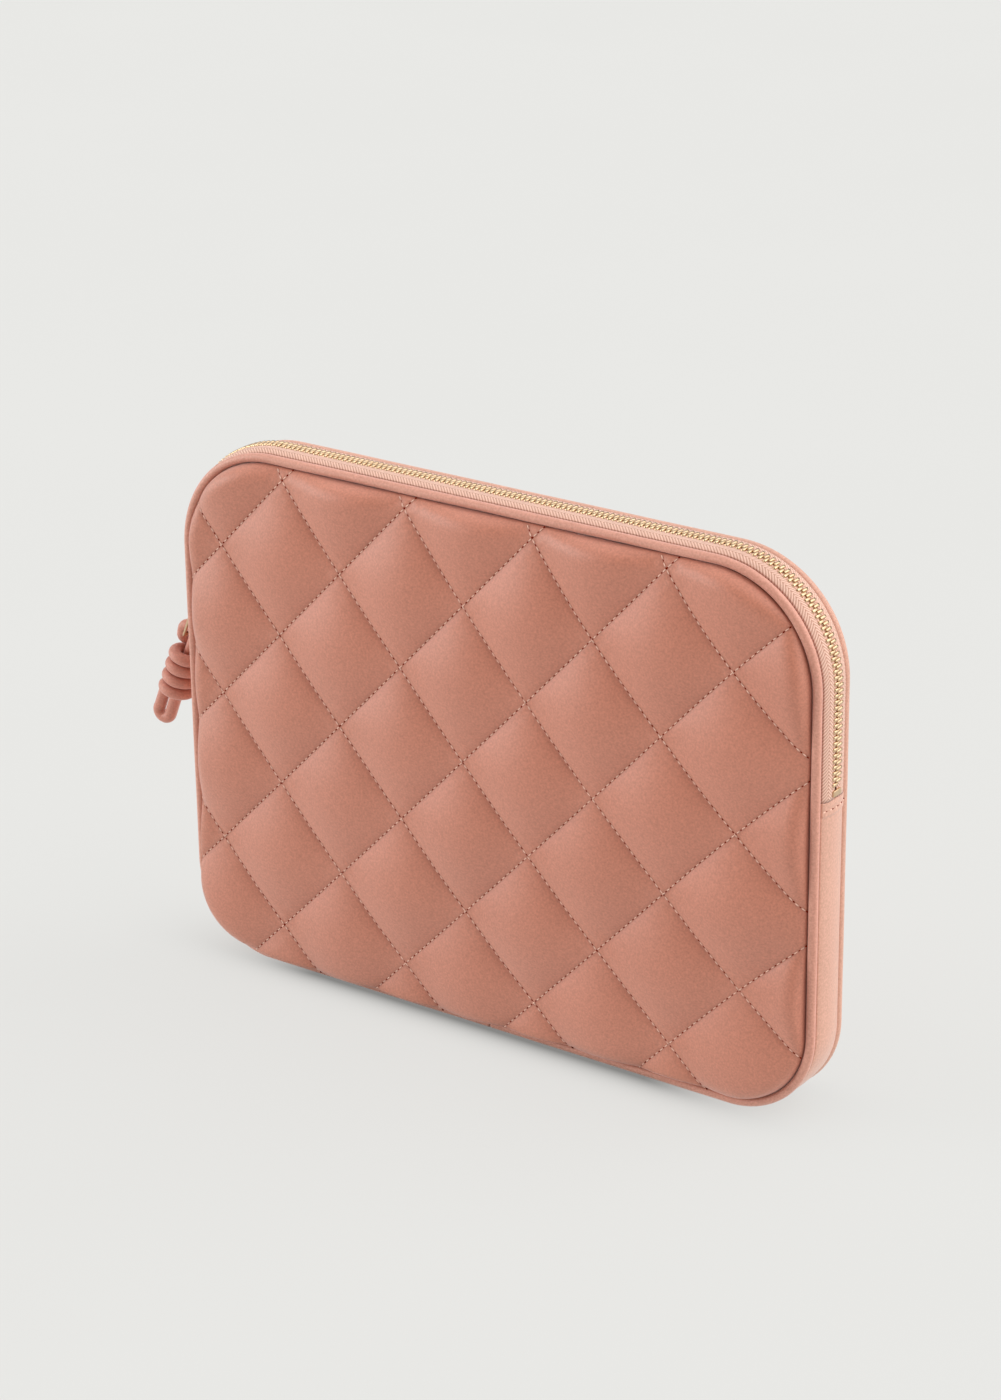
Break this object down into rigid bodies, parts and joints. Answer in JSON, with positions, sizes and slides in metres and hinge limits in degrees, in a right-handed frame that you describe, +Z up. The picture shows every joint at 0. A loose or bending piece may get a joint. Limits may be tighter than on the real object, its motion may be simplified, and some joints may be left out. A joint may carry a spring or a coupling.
{
  "type": "laptop sleeve",
  "caption": "Slim padded laptop sleeve with quilted leather-look panels, piped edges, a metal zip round its upper half and a knotted leather zip pull; it stands on its long bottom edge.",
  "frame": {"origin": "on the floor under the middle of the sleeve's bottom edge", "axes": "+X to the right along the width, +Y to the back, +Z up"},
  "size_m": [0.3877, 0.0474, 0.2621],
  "materials": {
    "quilted_leather": "matte fine-grained imitation leather",
    "plain_leather": "matte smooth imitation leather",
    "cord_leather": "matte imitation leather over a cord",
    "zip_tape": "herringbone woven polyester",
    "lining_cloth": "plain woven lining",
    "wadding": "soft polyester wadding",
    "piping_cord": "twisted cotton",
    "board": "flexible stiffener sheet",
    "pale_gold": "polished pale gold plate"
  },
  "bodies": {
    "sleeve": {"back_shell": "quilted_leather", "back_wadding": "wadding", "back_lining": "lining_cloth", "back_piping": "plain_leather", "back_piping_cord": "piping_cord", "front_shell_lower": "quilted_leather", "front_wadding_lower": "wadding", "front_lining_lower": "lining_cloth", "front_piping_lower": "plain_leather", "front_piping_cord_lower": "piping_cord", "gusset_band": "plain_leather", "gusset_stiffener": "board", "gusset_lining": "lining_cloth", "zip_tape_back": "zip_tape", "zip_tape_front_ends": "zip_tape", "zip_teeth_back": "pale_gold", "zip_teeth_back_left_run": "pale_gold", "zip_teeth_front_left_end": "pale_gold", "zip_teeth_front_right_end": "pale_gold", "zip_top_stops": "pale_gold", "zip_bottom_stop": "pale_gold"},
    "front_flap": {"front_shell_upper": "quilted_leather", "front_wadding_upper": "wadding", "front_lining_upper": "lining_cloth", "front_piping_upper": "plain_leather", "front_piping_cord_upper": "piping_cord", "zip_tape_front": "zip_tape", "zip_teeth_front": "pale_gold", "zip_teeth_front_left_run": "pale_gold"},
    "zip_slider": {"slider_body": "pale_gold", "slider_bail": "pale_gold"},
    "pull": {"pull_link": "pale_gold", "pull_cord": "cord_leather"}
  },
  "joints": [
    {"name": "front_fold", "type": "hinge", "parent": "sleeve", "child": "front_flap", "pos_m": [0, -0.0236, 0.1755], "axis": [1, 0, 0], "range_deg": [0, 45], "stiffness_Nm_per_rad": 0.2},
    {"name": "zip_slide", "type": "slide", "parent": "sleeve", "child": "zip_slider", "axis": [0, 0, 1], "range_m": [0, 0.032], "deforming": ["zip_teeth_back_left_run", "zip_teeth_front_left_end", "zip_teeth_front_left_run"]},
    {"name": "pull_swing", "type": "hinge", "parent": "zip_slider", "child": "pull", "pos_m": [-0.1799, 0, 0.16725], "axis": [0, 1, 0], "range_deg": [0, 120]}
  ]
}
